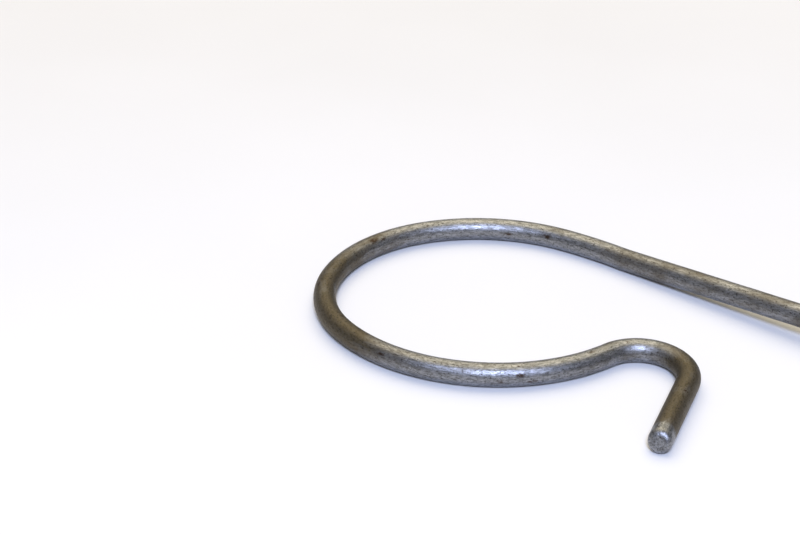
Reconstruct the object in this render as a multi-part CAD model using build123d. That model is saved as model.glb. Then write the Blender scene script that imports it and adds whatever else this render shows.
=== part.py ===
"""Inoculating loop: a bent steel loop wire held by a collet chuck on a slim hand holder.

Units are millimetres.  The holder is a set of turned parts on one straight axis along +X.  It
lies on the bench on its end cap, so that axis is one cap radius above the bench.  The wire leaves
the chuck on that axis, slopes down to the bench and ends in an open loop that lies flat on it, to
the -Y side.  Holder parts are drawn about the X axis, with x = 0 at the clamp nut's front face.
"""
from build123d import *
from math import cos, radians, sin, tan
import os

# --- loop wire -------------------------------------------------------------------------------
WIRE_R = 1.0                  # 2 mm round steel wire
# Bends from the shaft round to the tip, each (centreline radius, turn in degrees): positive
# bends close the loop, the last one flicks the end outwards.
LOOP_BENDS = [(37.0, 9.3), (15.6, 50.7), (13.1, 52.2), (11.3, 50.1), (15.4, 95.4), (3.9, -148.6)]
TIP_LENGTH = 9.5              # straight end after the last bend, to its furthest point
TIP_CUT = 15.0                # the end's cut faces this far upwards, degrees
TIP_EDGE = 0.5                # rounding of the cut's edge
SLOPE = 3.0                   # the shaft's fall towards the bench, degrees
SLOPE_BEND_R = 24.0           # the slight bends at both ends of that slope
FREE_TAIL = 5.0               # straight wire between the upper bend and the nut
HELD_TAIL = 14.0              # wire inside the chuck, from the nut's front face

# --- fits and edges --------------------------------------------------------------------------
RUNNING = 0.03                # radial clearance of moving fits
SEATED = 0.02                 # radial clearance of fits that never move
THREAD_GAP = 0.05             # radial clearance of the plain cylinders that stand for threads
END_GAP = 0.05                # clearance end to end between neighbouring parts
EDGE = 0.3                    # chamfers on the chuck's parts
FINE_EDGE = 0.2               # chamfers on thin rims and collars

# --- clamp nut -------------------------------------------------------------------------------
NUT_R = 4.3                   # over the knurl
NUT_NECK_R = 4.0              # plain bands on both sides of the knurl
NUT_FACE_R = 2.3
NUT_NOSE_EDGE = 0.4
NUT_LENGTH = 15.0
NUT_MOUTH_R = 1.55
NUT_SHOULDER = 1.2            # thickness of the nut's front wall
NUT_THREAD_START = 5.6
BARREL_START, BARREL_END = 4.4, 13.2
KNURL_START, KNURL_END = 5.2, 12.6
KNURL_COUNT = 30
KNURL_DEPTH = 0.22

# --- closing ring and collet -----------------------------------------------------------------
RING_R = 2.6
RING_LENGTH = 3.6
COLLET_FRONT = 1.5
COLLET_CONE = 3.4             # length of the collet's cone
COLLET_NECK = 0.6             # length of the step from the cone down to the shank
COLLET_NOSE_R, COLLET_HEAD_R = 1.45, 2.05
COLLET_SHANK_R = 1.70
COLLET_END = 14.5
COLLET_SLOTS = 4
SLOT_WIDTH, SLOT_END = 0.4, 11.5

# --- chuck body ------------------------------------------------------------------------------
THREAD_R = 3.0                # the M6 nose
NOSE_START, THREAD_END = 6.2, 15.1
UNDERCUT_R = 2.6
COLLAR_START, COLLAR_END = 16.0, 22.0
COLLAR_R = 4.2
FLATS = 7.0                   # size across the two spanner flats
FLATS_START, FLATS_END = 17.2, 20.8
BODY_END = 24.0
BODY_NECK_R = 2.9
SOCKET_START = 18.2

# --- stem ------------------------------------------------------------------------------------
STEM_R = 2.25
SPIGOT_R, SPIGOT_START = 1.5, 18.6        # M3 spigot in the chuck body
STOP_START, STOP_END, STOP_R = 42.0, 43.6, 3.3
REAR_THREAD_R, REAR_THREAD_START, REAR_THREAD_END = 1.75, 107.4, 115.0
PIN_R, PIN_LENGTH, PIN_AT = 0.6, 7.0, 47.0

# --- ferrule, grip and cap -------------------------------------------------------------------
FERRULE_R, FERRULE_WALL, FERRULE_BASE = 4.6, 0.6, 1.0
FERRULE_END = 50.6
FERRULE_ROUND = 0.7
WASHER_END = 45.4
GRIP_R = 4.6
GRIP_SHOULDER_R = 4.35
GRIP_WAIST_R = 4.0
WAIST_AT, WAIST_OUT = 62.0, 78.0
SHOULDER_FLARE = 0.18         # outward slope of the grip where it meets the ferrule
GRIP_START, GRIP_END = WASHER_END, 107.0
RIB_COUNT, RIB_PITCH, RIB_GROOVE, RIB_DEPTH = 9, 2.1, 0.8, 0.3
RIB_START = 53.6
SPRING_THICKNESS, SPRING_HEIGHT = 0.3, 0.5
CAP_R = 4.8
CAP_START, CAP_END = 103.0, 118.0
CAP_GROOVE_START, CAP_GROOVE_END, CAP_GROOVE_R = 108.8, 109.6, 4.4
CAP_HOLE_START, CAP_HOLE_END = 108.3, 115.6
CAP_FACE_R = 3.4

TENON_R = FERRULE_R - FERRULE_WALL - SEATED
CAP_RIM_R = TENON_R + SEATED


def turned(*profile):
    """A solid of revolution about the X axis from (x, radius) corners."""
    face = make_face(Polyline(*[(x, 0, r) for x, r in profile], close=True))
    return revolve(face, Axis.X, 360)


def box_between(low, high):
    """A block from its lowest to its highest corner."""
    size = [b - a for a, b in zip(low, high)]
    centre = [(a + b) / 2 for a, b in zip(low, high)]
    return Pos(*centre) * Box(*size)


def circle_edges(part, x, r):
    """The circular edges of radius r in the plane across the axis at x."""
    rings = part.edges().filter_by(GeomType.CIRCLE)
    return [e for e in rings if abs(e.center().X - x) < 0.01 and abs(e.radius - r) < 0.01]


def slope_run():
    """Length of the straight slope, so that it falls from the holder's axis to the bench."""
    fall = CAP_R - WIRE_R
    bends_fall = 2 * SLOPE_BEND_R * (1 - cos(radians(SLOPE)))
    return (fall - bends_fall) / sin(radians(SLOPE))


def wire_path():
    """The wire's centreline from the tail in the chuck to the tip, with its end point and heading.

    It starts at the origin with the shaft running along -X, and is moved into place later.
    """
    point = Vector(0, 0, 0)
    heading = Vector(-1, 0, 0)
    edges = []

    def straight(length):
        nonlocal point
        end = point + heading * length
        edges.append(Line(point, end))
        point = end

    def bend(radius, degrees, turn_axis):
        nonlocal point, heading
        start_heading = heading
        heading = heading.rotate(Axis((0, 0, 0), turn_axis), degrees)
        chord = 2 * radius * sin(radians(abs(degrees)) / 2)
        half_way = start_heading.rotate(Axis((0, 0, 0), turn_axis), degrees / 2)
        end = point + half_way * chord
        edges.append(TangentArc(point, end, tangent=start_heading))
        point = end

    straight(HELD_TAIL + FREE_TAIL)
    bend(SLOPE_BEND_R, -SLOPE, (0, 1, 0))
    straight(slope_run())
    bend(SLOPE_BEND_R, SLOPE, (0, 1, 0))
    for radius, turn in LOOP_BENDS:
        bend(radius, turn, (0, 0, 1))
    straight(TIP_LENGTH)
    return Wire(edges), point, heading


def tip_cut(tip, heading):
    """The block that cuts the tip's end off on a slant, with the underside left longest."""
    tilt = radians(TIP_CUT)
    facing = heading * cos(tilt) + Vector(0, 0, sin(tilt))
    middle = tip - heading * WIRE_R * tan(tilt)
    return Plane(origin=middle, z_dir=facing) * Pos(0, 0, WIRE_R) * Box(4 * WIRE_R, 4 * WIRE_R, 2 * WIRE_R)


def loop_wire():
    """The bent steel wire: tail, sloping shaft, open loop and flicked tip with a rounded end."""
    path, tip, heading = wire_path()
    section = Plane(origin=path @ 0, z_dir=path % 0) * Circle(WIRE_R)
    wire = sweep(section, path=path) - tip_cut(tip, heading)
    end = wire.edges().filter_by(GeomType.LINE, reverse=True).sort_by_distance(tip)[0]
    return fillet(end, TIP_EDGE)


def clamp_nut():
    """Knurled nut: turning it draws the closing ring over the collet."""
    thread = THREAD_R + THREAD_GAP
    ring_bore = RING_R + RUNNING
    nut = turned((0, NUT_MOUTH_R), (0, NUT_FACE_R), (NUT_NOSE_EDGE, NUT_FACE_R + NUT_NOSE_EDGE),
                 (BARREL_START, NUT_NECK_R), (BARREL_START + FINE_EDGE, NUT_R),
                 (BARREL_END - FINE_EDGE, NUT_R), (BARREL_END, NUT_NECK_R),
                 (NUT_LENGTH - EDGE, NUT_NECK_R), (NUT_LENGTH, NUT_NECK_R - EDGE),
                 (NUT_LENGTH, thread), (NUT_THREAD_START, thread), (NUT_THREAD_START, ring_bore),
                 (NUT_SHOULDER, ring_bore), (NUT_SHOULDER, NUT_MOUTH_R))
    groove = box_between((KNURL_START, -KNURL_DEPTH, -KNURL_DEPTH),
                         (KNURL_END, KNURL_DEPTH, KNURL_DEPTH))
    for i in range(KNURL_COUNT):
        nut -= Rot(X=360 * i / KNURL_COUNT) * Pos(0, 0, NUT_R) * Rot(X=45) * groove
    return nut


def cone_radius(x):
    """The collet cone's radius at x."""
    return COLLET_NOSE_R + (x - COLLET_FRONT) * (COLLET_HEAD_R - COLLET_NOSE_R) / COLLET_CONE


def closing_ring():
    """Taper ring inside the nut that squeezes the collet without twisting it."""
    front = NUT_SHOULDER + END_GAP
    back = front + RING_LENGTH
    return turned((front, cone_radius(front) + RUNNING), (front, RING_R - EDGE),
                  (front + EDGE, RING_R), (back, RING_R), (back, cone_radius(back) + RUNNING))


def collet():
    """Split brass collet that grips the wire."""
    head = COLLET_FRONT + COLLET_CONE
    bore = WIRE_R + RUNNING
    jaws = turned((COLLET_FRONT, bore), (COLLET_FRONT, COLLET_NOSE_R), (head, COLLET_HEAD_R),
                  (head + COLLET_NECK, COLLET_SHANK_R), (COLLET_END, COLLET_SHANK_R),
                  (COLLET_END, bore))
    slot = box_between((0, -SLOT_WIDTH / 2, 0), (SLOT_END, SLOT_WIDTH / 2, NUT_R))
    for i in range(COLLET_SLOTS):
        jaws -= Rot(X=45 + 360 * i / COLLET_SLOTS) * slot
    return jaws


def chuck_body():
    """Plated brass body: threaded nose, collar with two spanner flats, socket for the stem."""
    bore = COLLET_SHANK_R + SEATED
    bore_end = COLLET_END + END_GAP
    socket = SPIGOT_R + SEATED
    body = turned((NOSE_START, bore), (NOSE_START, THREAD_R - EDGE), (NOSE_START + EDGE, THREAD_R),
                  (THREAD_END, THREAD_R), (THREAD_END + FINE_EDGE, UNDERCUT_R),
                  (COLLAR_START, UNDERCUT_R), (COLLAR_START, COLLAR_R - EDGE),
                  (COLLAR_START + EDGE, COLLAR_R), (COLLAR_END - EDGE, COLLAR_R),
                  (BODY_END, BODY_NECK_R), (BODY_END, socket), (SOCKET_START, socket),
                  (SOCKET_START, 0), (bore_end, 0), (bore_end, bore))
    flat_length = FLATS_END - FLATS_START
    for side in (-1, 1):
        middle = side * (FLATS + COLLAR_R) / 2
        body -= Pos(FLATS_START + flat_length / 2, 0, middle) * Box(flat_length, 2 * COLLAR_R, COLLAR_R)
    return body


def stem():
    """Steel rod that joins the chuck to the grip, with a stop collar and threaded ends."""
    rod = turned((SPIGOT_START, 0), (SPIGOT_START, SPIGOT_R), (BODY_END, SPIGOT_R),
                 (BODY_END, STEM_R), (STOP_START, STEM_R), (STOP_START, STOP_R - FINE_EDGE),
                 (STOP_START + FINE_EDGE, STOP_R), (STOP_END, STOP_R), (STOP_END, STEM_R),
                 (REAR_THREAD_START, STEM_R), (REAR_THREAD_START, REAR_THREAD_R),
                 (REAR_THREAD_END, REAR_THREAD_R), (REAR_THREAD_END, 0))
    cross_hole = Pos(PIN_AT, 0, 0) * Rot(X=90) * Cylinder(PIN_R + SEATED, 3 * STEM_R)
    return rod - cross_hole


def drive_pin():
    """Cross pin through the stem that keeps the grip from turning on it."""
    return Pos(PIN_AT, 0, 0) * Rot(X=90) * Cylinder(PIN_R, PIN_LENGTH)


def front_ferrule():
    """Plated cup over the grip's front tenon, seated on the stem's stop collar."""
    inner = FERRULE_R - FERRULE_WALL
    cup = turned((STOP_END, STEM_R + SEATED), (STOP_END, FERRULE_R), (FERRULE_END, FERRULE_R),
                 (FERRULE_END, inner), (STOP_END + FERRULE_BASE, inner),
                 (STOP_END + FERRULE_BASE, STEM_R + SEATED))
    return fillet(circle_edges(cup, STOP_END, FERRULE_R), FERRULE_ROUND)


def heat_washer():
    """Fibre washer that keeps the ferrule's heat off the grip."""
    front = STOP_END + FERRULE_BASE
    rim = TENON_R - END_GAP
    bore = STEM_R + SEATED
    return turned((front, bore), (front, rim), (WASHER_END, rim), (WASHER_END, bore))


def grip_sleeve():
    """Moulded insulating grip with a ribbed finger waist and a tenon at each end."""
    bore = STEM_R + SEATED
    front = FERRULE_END + END_GAP
    rear = CAP_START - END_GAP
    with BuildSketch(Plane.XZ) as half:
        with BuildLine():
            Polyline((front, GRIP_SHOULDER_R), (front, TENON_R), (GRIP_START, TENON_R),
                     (GRIP_START, bore), (GRIP_END, bore), (GRIP_END, TENON_R),
                     (rear, TENON_R), (rear, GRIP_R), (WAIST_OUT, GRIP_R))
            Spline((WAIST_OUT, GRIP_R), (WAIST_AT, GRIP_WAIST_R), (front, GRIP_SHOULDER_R),
                   tangents=((-1, 0), (-1, SHOULDER_FLARE)))
        make_face()
    grip = revolve(half.sketch, Axis.X, 360)
    for i in range(RIB_COUNT):
        start = RIB_START + i * RIB_PITCH
        end = start + RIB_GROOVE
        floor = GRIP_WAIST_R - RIB_DEPTH
        grip -= turned((start, floor), (start, GRIP_R), (end, GRIP_R), (end, floor))
    slot = box_between((GRIP_START - EDGE, -GRIP_R, -PIN_R - SEATED),
                       (PIN_AT + PIN_R + EDGE, GRIP_R, PIN_R + SEATED))
    return grip - slot


def disc_spring():
    """Coned spring washer under the cap that keeps the grip tight as it heats and cools."""
    inner = STEM_R + 2 * END_GAP
    outer = TENON_R - 4 * END_GAP
    back = GRIP_END + SPRING_HEIGHT
    return turned((GRIP_END, outer), (GRIP_END + SPRING_THICKNESS, outer),
                  (back + SPRING_THICKNESS, inner), (back, inner))


def end_cap():
    """Plated screw cap over the grip's rear tenon, with a groove and a flat rear face."""
    thread = REAR_THREAD_R + THREAD_GAP
    cap = turned((CAP_START, CAP_RIM_R), (CAP_START, CAP_R - FINE_EDGE),
                 (CAP_START + FINE_EDGE, CAP_R), (CAP_GROOVE_START, CAP_R),
                 (CAP_GROOVE_START + FINE_EDGE, CAP_GROOVE_R),
                 (CAP_GROOVE_END - FINE_EDGE, CAP_GROOVE_R), (CAP_GROOVE_END, CAP_R),
                 (CAP_END, CAP_R), (CAP_END, 0), (CAP_HOLE_END, 0), (CAP_HOLE_END, thread),
                 (CAP_HOLE_START, thread), (CAP_HOLE_START, CAP_RIM_R))
    return fillet(circle_edges(cap, CAP_END, CAP_R), CAP_R - CAP_FACE_R)


def assembly():
    """Every part in place, with the origin under the middle of the whole object's box."""
    wire = Pos(HELD_TAIL, 0, 0) * loop_wire()
    parts = {
        "loop_wire": wire,
        "clamp_nut": clamp_nut(),
        "closing_ring": closing_ring(),
        "collet": collet(),
        "chuck_body": chuck_body(),
        "stem": stem(),
        "drive_pin": drive_pin(),
        "front_ferrule": front_ferrule(),
        "heat_washer": heat_washer(),
        "grip_sleeve": grip_sleeve(),
        "disc_spring": disc_spring(),
        "end_cap": end_cap(),
    }
    wire_box = wire.bounding_box()
    middle_x = (wire_box.min.X + CAP_END) / 2
    middle_y = (wire_box.min.Y + CAP_R) / 2
    place = Pos(-middle_x, -middle_y, CAP_R)
    return {name: place * part for name, part in parts.items()}


os.makedirs("parts", exist_ok=True)
for node, solid in assembly().items():
    export_step(solid, f"parts/{node}.step")
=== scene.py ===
"""Inoculating loop: looks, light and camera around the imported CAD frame.

Lengths are written in millimetres and turned into metres by MM.  Turned parts are drawn about the
holder's axis, with x = 0 at the clamp nut's front face, as in the CAD part.
"""
import math
import random

import bpy
import numpy as np
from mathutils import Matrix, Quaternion, Vector, noise


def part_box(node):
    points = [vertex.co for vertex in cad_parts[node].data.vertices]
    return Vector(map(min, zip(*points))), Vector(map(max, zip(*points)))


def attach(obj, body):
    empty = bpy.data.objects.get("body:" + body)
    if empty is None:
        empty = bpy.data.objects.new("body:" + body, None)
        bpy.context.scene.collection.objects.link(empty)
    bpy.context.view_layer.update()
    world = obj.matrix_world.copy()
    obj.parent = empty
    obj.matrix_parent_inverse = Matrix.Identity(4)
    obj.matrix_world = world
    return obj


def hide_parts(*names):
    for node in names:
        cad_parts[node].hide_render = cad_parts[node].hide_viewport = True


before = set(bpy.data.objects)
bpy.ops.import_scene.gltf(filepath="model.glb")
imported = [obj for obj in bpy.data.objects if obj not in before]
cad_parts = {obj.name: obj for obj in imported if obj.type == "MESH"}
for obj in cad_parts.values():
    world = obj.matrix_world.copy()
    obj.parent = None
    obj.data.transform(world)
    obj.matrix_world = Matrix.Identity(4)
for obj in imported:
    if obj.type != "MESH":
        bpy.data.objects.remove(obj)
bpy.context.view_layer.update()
MM = 0.001

# --- places read from the frame --------------------------------------------------------------
NUT_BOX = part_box("clamp_nut")
CAP_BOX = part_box("end_cap")
WIRE_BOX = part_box("loop_wire")
AXIS = Vector((NUT_BOX[0].x, (CAP_BOX[0].y + CAP_BOX[1].y) / 2, (CAP_BOX[0].z + CAP_BOX[1].z) / 2)) / MM
CAP_R = (CAP_BOX[1].z - CAP_BOX[0].z) / 2 / MM
CAP_END = (CAP_BOX[1].x - NUT_BOX[0].x) / MM
NUT_LENGTH = (NUT_BOX[1].x - NUT_BOX[0].x) / MM
NUT_R = (NUT_BOX[1].z - NUT_BOX[0].z) / 2 / MM

# --- the wire's bends, as in the CAD part ----------------------------------------------------
WIRE_R = 1.0
# Bends from the shaft round to the tip, each (centreline radius, turn in degrees).
LOOP_BENDS = [(37.0, 9.3), (15.6, 50.7), (13.1, 52.2), (11.3, 50.1), (15.4, 95.4), (3.9, -148.6)]
TIP_LENGTH = 9.5
TIP_CUT = 15.0                # the end's cut faces this far upwards, degrees
TIP_EDGE = 0.5                # rounding of the cut's edge
SLOPE = 3.0                   # the shaft's fall towards the bench, degrees
SLOPE_BEND_R = 24.0
FREE_TAIL = 5.0               # straight wire between the upper bend and the nut
HELD_TAIL = 14.0              # wire inside the chuck
NOSE = Vector((WIRE_BOX[0].x / MM + WIRE_R, AXIS.y, 0))   # the loop's front, in line with the shaft

# --- the holder's places and radii -----------------------------------------------------------
# They are the CAD part's, apart from edges that are moved by up to 0.2 mm for a better look and
# the thread's grooves, which the CAD part leaves out.
NEAR_AXIS = 0.02              # radius at which a solid end's profile stops
NUT_SHOULDER, NUT_THREAD_START = 1.2, 5.6
NUT_MOUTH_R, RING_BORE_R, NUT_THREAD_R = 1.55, 2.63, 3.05
NUT_FACE_R, NUT_NECK_R, NUT_LAND_R, NUT_RIM_R = 2.45, 4.0, 3.98, 3.65
BARREL_START, BARREL_END, NUT_LAND_END = 4.3, 13.2, 14.5
KNURL_START, KNURL_END, KNURL_COUNT, KNURL_DEPTH = 5.2, 12.6, 30, 0.26
KNURL_RUNOUT = 0.35           # length over which the grooves fade in and out

THREAD_R, THREAD_PITCH, THREAD_DEPTH = 3.0, 0.75, 0.40
NOSE_START, NOSE_EDGE_R, THREAD_START, THREAD_END = 6.2, 2.6, 6.6, 15.1
COLLET_BORE_R, COLLET_BORE_END = 1.72, 14.6
UNDERCUT_R, UNDERCUT_START = 2.6, 15.3
COLLAR_R, COLLAR_START, COLLAR_END = 4.2, 16.0, 22.0
FLATS_HALF, FLATS_START, FLATS_END = 3.5, 17.2, 20.8
BODY_NECK_R, BODY_END = 2.9, 24.0
SOCKET_R, SOCKET_START = 1.52, 18.2

STEM_R, SPIGOT_R, SPIGOT_START = 2.25, 1.5, 18.6
STOP_R, STOP_START, STOP_END = 3.3, 42.0, 43.6
REAR_THREAD_R, REAR_THREAD_START, REAR_THREAD_END = 1.75, 107.4, 115.0

GRIP_R, GRIP_SHOULDER_R, GRIP_WAIST_R = 4.6, 4.35, 4.0
GRIP_FRONT, GRIP_REAR, WAIST_AT, WAIST_OUT = 50.65, 102.95, 62.0, 78.0
GRIP_CORE_START, GRIP_CORE_END = 45.4, 107.0
TENON_R, RIM_R, BORE_R = 3.98, 4.0, 2.27
RIB_START, RIB_COUNT, RIB_PITCH, RIB_GROOVE, RIB_DEPTH = 53.6, 9, 2.1, 0.8, 0.3
FERRULE_BASE_END, FERRULE_END = 44.6, 50.6
CAP_START, CAP_HOLE_START = 103.0, 108.3
CAP_GROOVE_START, CAP_GROOVE_END, CAP_GROOVE_R = 108.8, 109.6, 4.4
CAP_FACE_R = 3.4


# === mesh helpers ============================================================================
def add_mesh(name, verts, faces, material, smooth=True):
    """A mesh object from millimetre points."""
    mesh = bpy.data.meshes.new(name)
    mesh.from_pydata([tuple(c * MM for c in v) for v in verts], [], faces)
    mesh.validate()
    obj = bpy.data.objects.new(name, mesh)
    bpy.context.scene.collection.objects.link(obj)
    mesh.materials.append(material)
    mesh.polygons.foreach_set("use_smooth", [smooth] * len(mesh.polygons))
    return obj


def set_attribute(obj, name, kind, values):
    """Store one value for each vertex."""
    layer = obj.data.attributes.new(name, kind, "POINT")
    key = "vector" if kind == "FLOAT_VECTOR" else "value"
    layer.data.foreach_set(key, np.asarray(values, np.float32).ravel())


def rounded(corners, radius=0.12, steps=3):
    """A profile of (x, r) corners with each inner corner replaced by a small curve.

    A corner may carry a radius of its own as a third number.
    """
    out = [corners[0]]
    for before, here, after in zip(corners, corners[1:], corners[2:]):
        a, b, c = Vector(before[:2]), Vector(here[:2]), Vector(after[:2])
        size = here[2] if len(here) > 2 else radius
        cut = min(size, (b - a).length * 0.45, (c - b).length * 0.45)
        start = b + (a - b).normalized() * cut
        end = b + (c - b).normalized() * cut
        for i in range(steps + 1):
            t = i / steps
            p = start * (1 - t) ** 2 + b * 2 * t * (1 - t) + end * t ** 2
            out.append((p.x, p.y))
    out.append(corners[-1][:2])
    return out


def refine(profile, step):
    """The profile with points added, so that none of its lines is longer than step."""
    out = [profile[0]]
    for (x0, r0), (x1, r1) in zip(profile, profile[1:]):
        n = max(1, math.ceil(math.hypot(x1 - x0, r1 - r0) / step))
        out += [(x0 + (x1 - x0) * i / n, r0 + (r1 - r0) * i / n) for i in range(1, n + 1)]
    return out


def ring_faces(rings, segments, inside_out=False):
    """Four-sided faces between each ring of points and the next."""
    faces = []
    for i in range(rings - 1):
        here, there = i * segments, (i + 1) * segments
        for j in range(segments):
            k = (j + 1) % segments
            if inside_out:
                faces.append((here + k, here + j, there + j, there + k))
            else:
                faces.append((here + j, here + k, there + k, there + j))
    return faces


def lathe(name, profile, material, segments=128, shape=None):
    """A turned piece about the holder's axis.  shape(x, r, angle) may change each (y, z).

    A profile that ends where it starts gives a ring; any other is closed by a flat face at each end.
    """
    verts, flat = [], []
    for x, r in profile:
        for j in range(segments):
            angle = 2 * math.pi * j / segments
            y, z = r * math.sin(angle), r * math.cos(angle)
            if shape:
                y, z = shape(x, r, angle)
            verts.append((AXIS.x + x, AXIS.y + y, AXIS.z + z))
            flat.append((x, y, z))
    faces = ring_faces(len(profile), segments)
    last = (len(profile) - 1) * segments
    if math.dist(profile[0], profile[-1]) < 1e-4:
        faces = [tuple(v % last for v in f) for f in faces]
        verts, flat = verts[:last], flat[:last]
    else:
        faces.append(tuple(range(segments))[::-1])
        faces.append(tuple(last + j for j in range(segments)))
    obj = add_mesh(name, verts, faces, material)
    set_attribute(obj, "straight", "FLOAT_VECTOR", flat)
    return obj


def stands_for(obj, node, body):
    """obj replaces a CAD node and rides on its body."""
    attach(obj, body)
    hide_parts(node)
    return obj


# === material helpers ========================================================================
class Nodes:
    """A material's node tree with short calls for what is used here."""

    def __init__(self, name):
        self.material = bpy.data.materials.new(name)
        self.material.use_nodes = True
        self.tree = self.material.node_tree
        self.tree.nodes.clear()
        self.shader = self.tree.nodes.new("ShaderNodeBsdfPrincipled")
        output = self.tree.nodes.new("ShaderNodeOutputMaterial")
        self.link(self.shader.outputs["BSDF"], output.inputs["Surface"])

    def link(self, source, target):
        self.tree.links.new(source, target)

    def set(self, **sockets):
        """Constant values on the shader's own sockets."""
        for key, value in sockets.items():
            self.shader.inputs[key.replace("_", " ")].default_value = value

    def drive(self, socket, source):
        self.link(source, self.shader.inputs[socket])

    def coordinates(self, scale=(1, 1, 1), attribute="straight"):
        """Unbent millimetre coordinates of the piece, or object coordinates in millimetres."""
        mapping = self.tree.nodes.new("ShaderNodeMapping")
        if attribute:
            source = self.tree.nodes.new("ShaderNodeAttribute")
            source.attribute_name = attribute
            self.link(source.outputs["Vector"], mapping.inputs["Vector"])
            mapping.inputs["Scale"].default_value = scale
        else:
            source = self.tree.nodes.new("ShaderNodeTexCoord")
            self.link(source.outputs["Object"], mapping.inputs["Vector"])
            mapping.inputs["Scale"].default_value = [s / MM for s in scale]
        return mapping.outputs["Vector"]

    def value(self, attribute):
        node = self.tree.nodes.new("ShaderNodeAttribute")
        node.attribute_name = attribute
        return node.outputs["Fac"]

    def noise(self, vector, scale=1.0, detail=3.0, roughness=0.55, distortion=0.0):
        node = self.tree.nodes.new("ShaderNodeTexNoise")
        node.inputs["Scale"].default_value = scale
        node.inputs["Detail"].default_value = detail
        node.inputs["Roughness"].default_value = roughness
        node.inputs["Distortion"].default_value = distortion
        self.link(vector, node.inputs["Vector"])
        return node.outputs["Fac"]

    def ramp(self, source, low, high, out_low=0.0, out_high=1.0):
        """Maps low..high of a value to out_low..out_high, clamped."""
        node = self.tree.nodes.new("ShaderNodeMapRange")
        node.inputs["From Min"].default_value = low
        node.inputs["From Max"].default_value = high
        node.inputs["To Min"].default_value = out_low
        node.inputs["To Max"].default_value = out_high
        self.link(source, node.inputs["Value"])
        return node.outputs["Result"]

    def math(self, operation, a, b):
        node = self.tree.nodes.new("ShaderNodeMath")
        node.operation = operation
        for socket, value in zip(node.inputs, (a, b)):
            if isinstance(value, (int, float)):
                socket.default_value = value
            else:
                self.link(value, socket)
        return node.outputs["Value"]

    def mix(self, factor, a, b):
        """Mixes two colours, each a colour or a socket."""
        node = self.tree.nodes.new("ShaderNodeMix")
        node.data_type = "RGBA"
        self.link(factor, node.inputs["Factor"])
        for index, value in ((6, a), (7, b)):
            if isinstance(value, tuple):
                node.inputs[index].default_value = (*value, 1.0)
            else:
                self.link(value, node.inputs[index])
        return node.outputs[2]

    def bump(self, height, distance, strength=1.0, below=None):
        """Bump of a height source, with distance in millimetres."""
        node = self.tree.nodes.new("ShaderNodeBump")
        node.inputs["Distance"].default_value = distance * MM
        node.inputs["Strength"].default_value = strength
        self.link(height, node.inputs["Height"])
        if below:
            self.link(below, node.inputs["Normal"])
        return node.outputs["Normal"]


def loop_steel():
    """Drawn steel: grain along the wire, olive-brown oxide in places, fine pits and rust specks."""
    n = Nodes("loop_steel")
    grain = n.noise(n.coordinates((0.7, 3.0, 3.0)), 2.0, 5, 0.7)
    mottle = n.noise(n.coordinates((1.6, 2.6, 2.6)), 2.2, 4, 0.7)
    cloud = n.noise(n.coordinates((0.30, 0.75, 0.75)), 0.9, 4, 0.6)
    pits = n.noise(n.coordinates((2.6, 4.2, 4.2)), 1.7, 4, 0.7)
    specks = n.noise(n.coordinates((1.0, 1.4, 1.4)), 1.2, 3, 0.6)
    steel = n.mix(n.ramp(grain, 0.36, 0.64), (0.165, 0.168, 0.175), (0.385, 0.392, 0.415))
    brown = n.mix(n.ramp(mottle, 0.36, 0.64), (0.080, 0.066, 0.043), (0.182, 0.154, 0.108))
    covered = n.math("ADD", n.value("oxide"), n.ramp(cloud, 0.25, 0.75, -0.38, 0.38))
    skin = n.mix(n.ramp(covered, 0.22, 0.82), steel, brown)
    spotted = n.mix(n.ramp(mottle, 0.50, 0.66, 0.0, 0.6), skin, (0.080, 0.074, 0.066))
    pitted = n.mix(n.ramp(pits, 0.55, 0.66), spotted, (0.036, 0.032, 0.028))
    ragged = n.math("MULTIPLY", n.value("rust"), n.ramp(mottle, 0.36, 0.54, 0.15, 1.0))
    rust = n.math("MAXIMUM", ragged, n.ramp(specks, 0.690, 0.735))
    n.drive("Base Color", n.mix(rust, pitted, (0.052, 0.032, 0.021)))
    n.set(Metallic=1.0)
    dull = n.ramp(covered, 0.2, 0.9, 0.0, 0.17)
    n.drive("Roughness", n.math("ADD", dull, n.ramp(mottle, 0.3, 0.7, 0.31, 0.45)))
    fine = n.bump(grain, 0.014, 0.9)
    n.drive("Normal", n.bump(pits, 0.030, 1.0, fine))
    return n.material


def nickel_plate():
    """Satin nickel plate with fine turning marks and rubbed patches."""
    n = Nodes("nickel_plate")
    rings = n.noise(n.coordinates((9.0, 0.15, 0.15)), 1.6, 4, 0.7)
    cloud = n.noise(n.coordinates((0.25, 0.3, 0.3)), 1.0, 4, 0.6)
    smudge = n.noise(n.coordinates((0.9, 1.1, 1.1)), 1.2, 5, 0.7, 0.4)
    n.drive("Base Color", n.mix(n.ramp(cloud, 0.35, 0.7), (0.60, 0.575, 0.53), (0.70, 0.68, 0.645)))
    n.set(Metallic=1.0)
    polish = n.ramp(rings, 0.3, 0.7, 0.16, 0.25)
    n.drive("Roughness", n.math("ADD", polish, n.ramp(smudge, 0.45, 0.75, 0.0, 0.16)))
    n.drive("Normal", n.bump(rings, 0.006, 0.6))
    return n.material


def stem_steel():
    """Ground stainless rod: tight circumferential grinding marks."""
    n = Nodes("stem_steel")
    rings = n.noise(n.coordinates((14.0, 0.3, 0.3)), 1.5, 5, 0.75)
    cloud = n.noise(n.coordinates((0.3, 0.4, 0.4)), 1.0, 4, 0.6)
    warm = n.mix(n.ramp(cloud, 0.4, 0.7), (0.52, 0.52, 0.515), (0.60, 0.58, 0.55))
    n.drive("Base Color", warm)
    n.set(Metallic=1.0)
    n.drive("Roughness", n.ramp(rings, 0.3, 0.7, 0.22, 0.36))
    n.drive("Normal", n.bump(rings, 0.008, 0.7))
    return n.material


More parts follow.
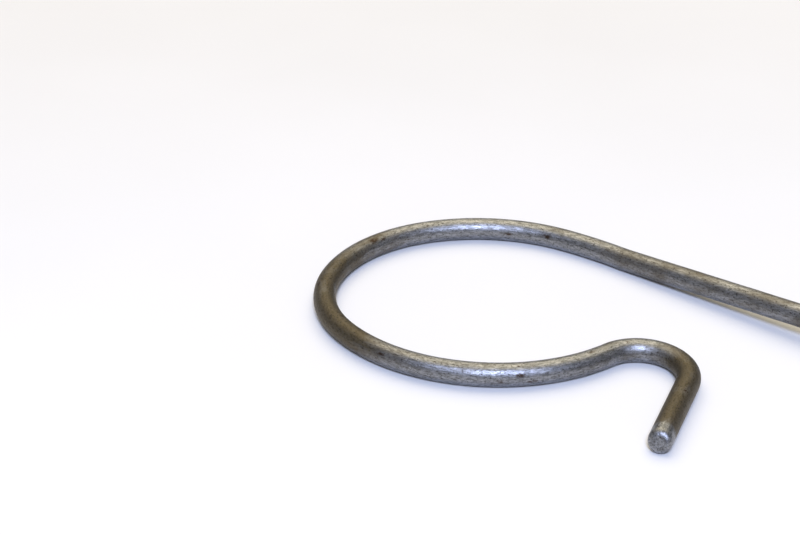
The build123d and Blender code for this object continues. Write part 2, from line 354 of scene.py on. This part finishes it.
def brass():
    """Machined brass, slightly tarnished."""
    n = Nodes("brass")
    marks = n.noise(n.coordinates((8.0, 0.6, 0.6), None), 1.2, 4, 0.7)
    tarnish = n.noise(n.coordinates((0.7, 0.7, 0.7), None), 1.2, 5, 0.65)
    n.drive("Base Color", n.mix(n.ramp(tarnish, 0.4, 0.7), (0.78, 0.58, 0.27), (0.48, 0.33, 0.15)))
    n.set(Metallic=1.0)
    n.drive("Roughness", n.ramp(marks, 0.3, 0.7, 0.24, 0.40))
    n.drive("Normal", n.bump(marks, 0.006, 0.6))
    return n.material


def phenolic():
    """Black moulded phenolic with a faint flow mottle, fine stipple and worn, shinier high spots."""
    n = Nodes("phenolic")
    flow = n.noise(n.coordinates((0.10, 0.35, 0.35)), 1.4, 5, 0.65, 0.6)
    stipple = n.noise(n.coordinates((5.0, 5.0, 5.0)), 1.6, 3, 0.6)
    rub = n.noise(n.coordinates((0.25, 0.5, 0.5)), 1.3, 4, 0.6)
    n.drive("Base Color", n.mix(n.ramp(flow, 0.42, 0.68), (0.016, 0.014, 0.013), (0.045, 0.034, 0.027)))
    n.set(Metallic=0.0, IOR=1.6)
    wear = n.math("MULTIPLY", n.value("wear"), n.ramp(rub, 0.3, 0.7, 0.5, 1.0))
    matt = n.ramp(stipple, 0.3, 0.7, 0.36, 0.48)
    n.drive("Roughness", n.math("SUBTRACT", matt, n.math("MULTIPLY", wear, 0.16)))
    n.drive("Normal", n.bump(stipple, 0.012, 0.5))
    return n.material


def fibre():
    """Red vulcanised fibre."""
    n = Nodes("fibre")
    strands = n.noise(n.coordinates((2.0, 2.0, 2.0), None), 1.5, 5, 0.7, 0.5)
    n.drive("Base Color", n.mix(n.ramp(strands, 0.35, 0.7), (0.30, 0.055, 0.030), (0.42, 0.11, 0.06)))
    n.drive("Roughness", n.ramp(strands, 0.3, 0.7, 0.62, 0.82))
    n.drive("Normal", n.bump(strands, 0.03, 0.6))
    return n.material


def paper():
    """Matt white card with a barely visible tooth."""
    n = Nodes("paper")
    tooth = n.noise(n.coordinates((1.0, 1.0, 1.0), None), 1.1, 4, 0.6)
    cloud = n.noise(n.coordinates((0.02, 0.02, 0.02), None), 1.0, 3, 0.5)
    n.drive("Base Color", n.mix(n.ramp(cloud, 0.3, 0.7), (0.79, 0.785, 0.78), (0.82, 0.815, 0.815)))
    n.drive("Roughness", n.ramp(tooth, 0.3, 0.7, 0.80, 0.92))
    n.drive("Normal", n.bump(tooth, 0.02, 0.25))
    return n.material


LOOP_STEEL = loop_steel()
NICKEL = nickel_plate()
STEM_STEEL = stem_steel()
BRASS = brass()
PHENOLIC = phenolic()
FIBRE = fibre()


# === loop wire ===============================================================================
def wire_centreline(step=0.14):
    """Points and headings along the wire's centreline from its tail to its tip."""
    start = Vector((AXIS.x + HELD_TAIL, AXIS.y, AXIS.z))
    points, headings = [start.copy()], [Vector((-1, 0, 0))]

    def advance(length, turn, axis):
        """Goes on by length while the heading turns by so many degrees about axis."""
        n = max(2, math.ceil(length / step))
        total = math.radians(turn)
        for i in range(n):
            before = headings[-1]
            after = before.copy()
            if turn:
                after.rotate(Quaternion(axis, total / n))
            middle = (before + after).normalized()
            chord = length / n if not turn else 2 * (length / abs(total)) * math.sin(abs(total) / n / 2)
            points.append(points[-1] + middle * chord)
            headings.append(after.normalized())

    side, up = Vector((0, 1, 0)), Vector((0, 0, 1))
    fall = CAP_R - WIRE_R
    tilt = math.radians(SLOPE)
    run = (fall - 2 * SLOPE_BEND_R * (1 - math.cos(tilt))) / math.sin(tilt)
    advance(HELD_TAIL + FREE_TAIL, 0, side)
    advance(SLOPE_BEND_R * tilt, -SLOPE, side)
    advance(run, 0, side)
    advance(SLOPE_BEND_R * tilt, SLOPE, side)
    for radius, turn in LOOP_BENDS:
        advance(radius * math.radians(abs(turn)), turn, up)
    advance(TIP_LENGTH, 0, up)
    return points, headings


# How much oxide the wire carries, as (distance from the tip, amount): most behind the cut tip and
# on the loop's front, least on its two long sides and on the cut.
OXIDE = [(0, 0.0), (0.9, 0.1), (1.7, 0.85), (8, 0.98), (14, 0.62), (17, 0.34), (23, 0.30), (27, 0.16),
         (34, 0.08), (39, 0.46), (44, 0.88), (54, 0.80), (60, 0.50), (66, 0.28), (71, 0.08), (80, 0.16),
         (90, 0.42), (110, 0.46), (180, 0.30)]
# Rust marks, as (distance from the tip, degrees round the wire from its top, length, width).
RUST = [(61.5, -25, 0.5, 0.3), (62.5, -40, 0.3, 0.15), (52, 35, 0.45, 0.15), (42, 120, 0.4, 0.2),
        (39.5, 60, 0.35, 0.2), (75.5, -85, 0.4, 0.15), (79.5, -65, 0.5, 0.25), (29.5, 95, 0.3, 0.15),
        (28, 65, 0.4, 0.2), (27, 100, 0.4, 0.15), (88, 20, 0.3, 0.1), (21.5, 10, 0.35, 0.15)]
WIRE_SEGMENTS = 72
EDGE_STEPS, FACE_RINGS = 8, 5             # round the tip's edge, and across its cut
CUT_FULL, CUT_FADE = 1.0, 3.0             # the cut's slant is whole for this far, then fades out
PIT_COUNT, PIT_SEED = 420, 11
PIT_START = 20.0                          # no pits nearer than this to the tail's end
PIT_WIDTH, PIT_DEPTH = (0.06, 0.16), (0.006, 0.022)
PIT_REACH = 0.5                           # beyond this distance a pit is too faint to count
WAVE_HEIGHT, WAVE_ALONG, WAVE_ROUND = 0.006, 0.45, 1.5    # the drawn surface is slightly wavy


def turned_from(angles, place):
    """The angles measured from place, within half a turn either way."""
    return (angles - place + math.pi) % (2 * math.pi) - math.pi


def pit_depths(pits, s, angles):
    """How far the pits dent the ring at s, at each angle."""
    depths = np.zeros(len(angles))
    for place, angle, width, deepest in pits[np.abs(pits[:, 0] - s) < PIT_REACH]:
        off = turned_from(angles, angle) * WIRE_R
        depths += deepest * np.exp(-((s - place) ** 2 + off ** 2) / (width * width))
    return depths


def rust_amounts(from_tip, angles):
    """How much rust a ring at this distance from the tip carries, at each angle."""
    amounts = np.zeros(len(angles))
    for place, degrees, length, width in RUST:
        off = turned_from(angles, math.radians(degrees)) * WIRE_R
        away = ((from_tip - place) / length) ** 2 + (off / width) ** 2
        amounts = np.maximum(amounts, np.exp(-away ** 2))
    return amounts


def wire_rings(points, headings, along):
    """The wire's rings, each (centre, heading, distance from the tail, radius), to the cut's middle."""
    total = along[-1]
    shaft = [i for i in range(len(points)) if along[i] < total - TIP_EDGE]
    rings = [(points[i], headings[i], along[i], WIRE_R) for i in shaft]
    for i in range(EDGE_STEPS + 1):
        a = math.pi / 2 * i / EDGE_STEPS
        s = total - TIP_EDGE + TIP_EDGE * math.sin(a)
        r = WIRE_R - TIP_EDGE + TIP_EDGE * math.cos(a)
        rings.append((points[-1] - headings[-1] * (total - s), headings[-1], s, r))
    for i in range(1, FACE_RINGS + 1):
        r = (WIRE_R - TIP_EDGE) * (1 - i / (FACE_RINGS + 0.5))
        rings.append((points[-1], headings[-1], total, r))
    return rings


def build_wire():
    """The bent wire: slightly wavy drawn surface with pits, and a slanted, rounded cut at the tip."""
    points, headings = wire_centreline()
    along = [0.0]
    for a, b in zip(points, points[1:]):
        along.append(along[-1] + (b - a).length)
    total = along[-1]
    rings = wire_rings(points, headings, along)
    rng = random.Random(PIT_SEED)
    pits = np.array([(rng.uniform(PIT_START, total - 1), rng.uniform(-math.pi, math.pi),
                      rng.uniform(*PIT_WIDTH), rng.uniform(*PIT_DEPTH)) for _ in range(PIT_COUNT)])
    angles = np.arange(WIRE_SEGMENTS) * 2 * math.pi / WIRE_SEGMENTS
    slant = math.tan(math.radians(TIP_CUT))
    verts, flat, oxide, rust = [], [], [], []
    for centre, heading, s, r in rings:
        side = heading.cross(Vector((0, 0, 1))).normalized()
        up = side.cross(heading)
        near_tip = min(1.0, max(0.0, 1 - (total - s - CUT_FULL) / CUT_FADE))
        for angle, dent in zip(angles, pit_depths(pits, s, angles)):
            c, q = math.cos(angle), math.sin(angle)
            wave = WAVE_HEIGHT * noise.noise(Vector((s * WAVE_ALONG, c * WAVE_ROUND, q * WAVE_ROUND)))
            radius = r + (wave - dent) * (r / WIRE_R)
            cut_back = heading * (slant * (radius * c + WIRE_R) * near_tip)
            verts.append(tuple(centre + (up * c + side * q) * radius - cut_back))
            flat.append((s, r * c, r * q))
        oxide.append(np.interp(total - s, *zip(*OXIDE)))
        rust.extend(rust_amounts(total - s, angles))
    faces = ring_faces(len(rings), WIRE_SEGMENTS, inside_out=True)
    faces.append(tuple(range(WIRE_SEGMENTS)))
    end = (len(rings) - 1) * WIRE_SEGMENTS
    faces.append(tuple(end + j for j in range(WIRE_SEGMENTS))[::-1])
    wire = add_mesh("wire_skin", verts, faces, LOOP_STEEL)
    set_attribute(wire, "straight", "FLOAT_VECTOR", flat)
    set_attribute(wire, "oxide", "FLOAT", np.repeat(oxide, WIRE_SEGMENTS))
    set_attribute(wire, "rust", "FLOAT", rust)
    return wire


stands_for(build_wire(), "loop_wire", "wire")


# === chuck ===================================================================================
def build_nut():
    """Clamp nut with a band of straight knurling between two plain lands."""
    def knurl(x, r, angle):
        if KNURL_START < x < KNURL_END and r > NUT_R - KNURL_DEPTH:
            fade = min(1, (x - KNURL_START) / KNURL_RUNOUT, (KNURL_END - x) / KNURL_RUNOUT)
            phase = (angle * KNURL_COUNT / (2 * math.pi)) % 1.0
            r -= fade * KNURL_DEPTH * abs(2 * phase - 1) ** 1.6
        return r * math.sin(angle), r * math.cos(angle)

    profile = rounded([(NUT_THREAD_START, RING_BORE_R), (NUT_SHOULDER, RING_BORE_R),
                       (NUT_SHOULDER, NUT_MOUTH_R), (0, NUT_MOUTH_R), (0, NUT_FACE_R, 0.2),
                       (BARREL_START, NUT_NECK_R), (BARREL_START + 0.4, NUT_R),
                       (BARREL_END - 0.2, NUT_R), (BARREL_END, NUT_LAND_R), (NUT_LAND_END, NUT_LAND_R),
                       (NUT_LENGTH, NUT_RIM_R), (NUT_LENGTH, NUT_THREAD_R),
                       (NUT_THREAD_START, NUT_THREAD_R), (NUT_THREAD_START, RING_BORE_R)], 0.1)
    return lathe("clamp_nut_skin", refine(profile, 0.2), NICKEL, 360, knurl)


def split_at(profile, places):
    """The profile with a point added where it passes each place along the axis."""
    out = []
    for (x0, r0), (x1, r1) in zip(profile, profile[1:]):
        out.append((x0, r0))
        for x in places:
            if x0 < x < x1:
                out.append((x, r0 + (r1 - r0) * (x - x0) / (x1 - x0)))
    return out + [profile[-1]]


def build_chuck_body():
    """Chuck body with an M6 by 0.75 thread on its nose and two spanner flats on its collar."""
    steps = 110
    first_groove = NOSE_START + 0.1

    def machined(x, r, angle):
        if first_groove < x < THREAD_END and abs(r - THREAD_R) < 0.05:
            phase = (x / THREAD_PITCH + angle / (2 * math.pi)) % 1.0
            r -= THREAD_DEPTH * abs(2 * phase - 1)
        y, z = r * math.sin(angle), r * math.cos(angle)
        if FLATS_START <= x <= FLATS_END:
            z = max(-FLATS_HALF, min(FLATS_HALF, z))
        return y, z

    nose = [(COLLET_BORE_END, COLLET_BORE_R), (NOSE_START, COLLET_BORE_R), (NOSE_START, NOSE_EDGE_R),
            (THREAD_START, THREAD_R)]
    thread_length = THREAD_END - THREAD_START
    thread = [(THREAD_START + i * thread_length / steps, THREAD_R) for i in range(1, steps + 1)]
    rest = rounded([(THREAD_END, THREAD_R), (UNDERCUT_START, UNDERCUT_R), (COLLAR_START, UNDERCUT_R),
                    (COLLAR_START, COLLAR_R), (COLLAR_END, COLLAR_R, 0.3), (BODY_END, BODY_NECK_R, 0.25),
                    (BODY_END, SOCKET_R)], 0.16)
    step = 0.001                  # a flat starts and ends in a step this long
    collar = split_at(rest, (FLATS_START - step, FLATS_START, FLATS_END, FLATS_END + step))
    socket = [(SOCKET_START, SOCKET_R), (SOCKET_START, NEAR_AXIS)]
    return lathe("chuck_body_skin", nose + thread + collar[1:] + socket, NICKEL, 180, machined)


stands_for(build_nut(), "clamp_nut", "nut")
stands_for(build_chuck_body(), "chuck_body", "holder")


# === stem, ferrule, grip and cap =============================================================
def build_stem():
    """Ground rod with its stop collar."""
    profile = rounded([(SPIGOT_START, NEAR_AXIS), (SPIGOT_START, SPIGOT_R), (BODY_END, SPIGOT_R),
                       (BODY_END, STEM_R), (STOP_START, STEM_R), (STOP_START, STOP_R), (STOP_END, STOP_R),
                       (STOP_END, STEM_R), (REAR_THREAD_START, STEM_R), (REAR_THREAD_START, REAR_THREAD_R),
                       (REAR_THREAD_END, REAR_THREAD_R), (REAR_THREAD_END, NEAR_AXIS)], 0.14)
    return lathe("stem_skin", refine(profile, 2.0), STEM_STEEL, 128)


def build_ferrule():
    """Cup with a rolled front edge and one turned groove near its rear lip."""
    groove_start, groove_end, groove_r = 48.8, 49.2, 4.42
    side, edge = 0.2, 0.05                # length of the groove's slanted sides, and its rounding
    profile = rounded([(STOP_END, BORE_R), (STOP_END, GRIP_R, 0.8), (groove_start - side, GRIP_R, edge),
                       (groove_start, groove_r, edge), (groove_end, groove_r, edge),
                       (groove_end + side, GRIP_R, edge), (FERRULE_END, GRIP_R), (FERRULE_END, RIM_R),
                       (FERRULE_BASE_END, RIM_R), (FERRULE_BASE_END, BORE_R), (STOP_END, BORE_R)], 0.15)
    return lathe("front_ferrule_skin", profile, NICKEL, 144)


def smooth_step(t):
    """0 to 1 with level ends."""
    t = min(max(t, 0), 1)
    return t * t * (3 - 2 * t)


def grip_radius(x):
    """The grip's outer radius without its ribs: a waist for the fingers, then a plain barrel."""
    if x < WAIST_AT:
        t = (WAIST_AT - x) / (WAIST_AT - GRIP_FRONT)
        return GRIP_WAIST_R + (GRIP_SHOULDER_R - GRIP_WAIST_R) * (smooth_step(t) * 0.55 + 0.45 * t * t)
    return GRIP_WAIST_R + (GRIP_R - GRIP_WAIST_R) * smooth_step((x - WAIST_AT) / (WAIST_OUT - WAIST_AT))


def build_grip():
    """Moulded grip with round-edged grooves and a faint mould line along each side."""
    step, edge = 0.1, 0.15                # spacing of the outline's points, and the ribs' rounding
    line_height, line_width = 0.035, 0.018            # of the mould lines, in mm and radians
    rub_length, rub_height = 12.0, 0.5    # how far the fingers' wear reaches along and down
    groove_floor = GRIP_WAIST_R - RIB_DEPTH
    outline = []
    for i in range(int((GRIP_REAR - GRIP_FRONT) / step) + 1):
        x = GRIP_FRONT + i * step
        r = grip_radius(x)
        inside = (x - RIB_START + edge) % RIB_PITCH - edge
        if RIB_START - edge < x < RIB_START + RIB_COUNT * RIB_PITCH - edge:
            going_in = smooth_step((inside + edge) / (2 * edge))
            coming_out = smooth_step((RIB_GROOVE + edge - inside) / (2 * edge))
            r += (groove_floor - r) * going_in * coming_out
        outline.append((x, r))
    outline[0] = (outline[0][0], outline[0][1] - 0.15)
    outline.append((GRIP_REAR, GRIP_R - 0.12))
    front = [(GRIP_CORE_START, BORE_R), (GRIP_CORE_START, TENON_R), (GRIP_FRONT, TENON_R)]
    rear = [(GRIP_REAR, TENON_R), (GRIP_CORE_END, TENON_R), (GRIP_CORE_END, BORE_R)]

    def mould_line(x, r, angle):
        seam = min(abs(angle - math.pi / 2), abs(angle - 3 * math.pi / 2))
        if GRIP_FRONT < x < GRIP_REAR and r > groove_floor - 0.05:
            r += line_height * math.exp(-(seam / line_width) ** 2) - line_height
        return r * math.sin(angle), r * math.cos(angle)

    grip = lathe("grip_skin", front + outline + rear, PHENOLIC, 288, mould_line)
    xs = np.array([v.co.x for v in grip.data.vertices]) / MM - AXIS.x
    radii = np.array([math.hypot(v.co.y / MM - AXIS.y, v.co.z / MM - AXIS.z) for v in grip.data.vertices])
    high = np.clip((radii - GRIP_WAIST_R + RIB_DEPTH / 2) / rub_height, 0, 1)
    set_attribute(grip, "wear", "FLOAT", np.exp(-((xs - WAIST_AT) / rub_length) ** 2) * high)
    return grip


def build_cap():
    """Screw cap: plain barrel, a groove, a rounded shoulder and a centre mark on its face."""
    mark_r, mark_depth = 0.62, 0.5
    profile = rounded([(CAP_START, RIM_R), (CAP_START, CAP_R, 0.25), (CAP_GROOVE_START, CAP_R, 0.08),
                       (CAP_GROOVE_START + 0.2, CAP_GROOVE_R, 0.05),
                       (CAP_GROOVE_END - 0.2, CAP_GROOVE_R, 0.05), (CAP_GROOVE_END, CAP_R, 0.08),
                       (CAP_END, CAP_R, CAP_R - CAP_FACE_R), (CAP_END, mark_r, 0.05),
                       (CAP_END - mark_depth, NEAR_AXIS)], 0.1, 7)
    inner = [(CAP_HOLE_START, NEAR_AXIS), (CAP_HOLE_START, RIM_R), (CAP_START, RIM_R)]
    return lathe("end_cap_skin", inner + refine(profile, 1.5)[1:], NICKEL, 160)


stands_for(build_stem(), "stem", "holder")
stands_for(build_ferrule(), "front_ferrule", "holder")
stands_for(build_grip(), "grip_sleeve", "holder")
stands_for(build_cap(), "end_cap", "holder")

# === CAD nodes that show as they are =========================================================
for node, material in (("collet", BRASS), ("closing_ring", BRASS), ("drive_pin", STEM_STEEL),
                       ("disc_spring", STEM_STEEL), ("heat_washer", FIBRE)):
    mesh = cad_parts[node].data
    mesh.materials.clear()
    mesh.materials.append(material)


# === floor, light and camera =================================================================
def plan_direction(azimuth):
    """Unit vector in plan from the object towards a viewer at this azimuth."""
    a = math.radians(azimuth)
    return Vector((math.sin(a), -math.cos(a), 0))


VIEW_AZIMUTH = 40.6
VIEW_PITCH = 28.77
CAMERA_FROM_NOSE = Vector((100.46, -126.28, 81.88))     # from under the loop's nose
FOCAL_LENGTH = 83.25                                    # on a 36 mm wide sensor
LOOP_MIDDLE = NOSE + Vector((14, -14, 0))
SKY_COLOUR, SKY_STRENGTH = (0.96, 0.97, 1.0, 1.0), 0.28
FLOOR_HALF, FLOOR_Z, FLOOR_STEPS = 4000.0, -0.001, 2


def add_floor():
    """The pale ground, just under the object."""
    marks = [FLOOR_HALF * (2 * i / FLOOR_STEPS - 1) for i in range(FLOOR_STEPS + 1)]
    verts = [(x, y, FLOOR_Z) for x in marks for y in marks]
    row = FLOOR_STEPS + 1
    faces = [(i * row + j, (i + 1) * row + j, (i + 1) * row + j + 1, i * row + j + 1)
             for i in range(FLOOR_STEPS) for j in range(FLOOR_STEPS)]
    floor = add_mesh("floor", verts, faces, paper(), False)


def add_light(name, azimuth, elevation, distance, size, power, colour, target):
    """A soft round light that looks at target (mm)."""
    data = bpy.data.lights.new(name, "AREA")
    data.shape = "DISK"
    data.size = size * MM
    data.energy = power
    data.color = colour
    light = bpy.data.objects.new(name, data)
    e = math.radians(elevation)
    away = plan_direction(azimuth) * math.cos(e) + Vector((0, 0, math.sin(e)))
    light.location = (target + away * distance) * MM
    light.rotation_mode = "QUATERNION"
    light.rotation_quaternion = (-away).to_track_quat("-Z", "Y")
    light.visible_camera = False
    bpy.context.scene.collection.objects.link(light)


def add_world():
    """Even, faintly cool light from all round."""
    world = bpy.data.worlds.new("studio")
    bpy.context.scene.world = world
    world.use_nodes = True
    background = world.node_tree.nodes["Background"]
    background.inputs["Color"].default_value = SKY_COLOUR
    background.inputs["Strength"].default_value = SKY_STRENGTH


def add_camera():
    """The view from in front of the loop, a little above it and to the holder's side."""
    data = bpy.data.cameras.new("camera")
    data.sensor_width = 36.0
    data.lens = FOCAL_LENGTH
    data.clip_start = 0.005
    camera = bpy.data.objects.new("camera", data)
    p = math.radians(VIEW_PITCH)
    forward = -plan_direction(VIEW_AZIMUTH) * math.cos(p) - Vector((0, 0, math.sin(p)))
    camera.location = (NOSE + CAMERA_FROM_NOSE) * MM
    camera.rotation_mode = "QUATERNION"
    camera.rotation_quaternion = forward.to_track_quat("-Z", "Y")
    bpy.context.scene.collection.objects.link(camera)
    bpy.context.scene.camera = camera


add_floor()
add_world()
add_light("warm_overhead", azimuth=VIEW_AZIMUTH + 180, elevation=62, distance=800, size=1000,
          power=5.5, colour=(1.0, 0.88, 0.62), target=LOOP_MIDDLE)
add_light("cool_front", azimuth=VIEW_AZIMUTH, elevation=47, distance=420, size=125,
          power=1.66, colour=(0.62, 0.71, 1.0), target=LOOP_MIDDLE)
add_camera()
bpy.context.scene.view_settings.view_transform = "Standard"
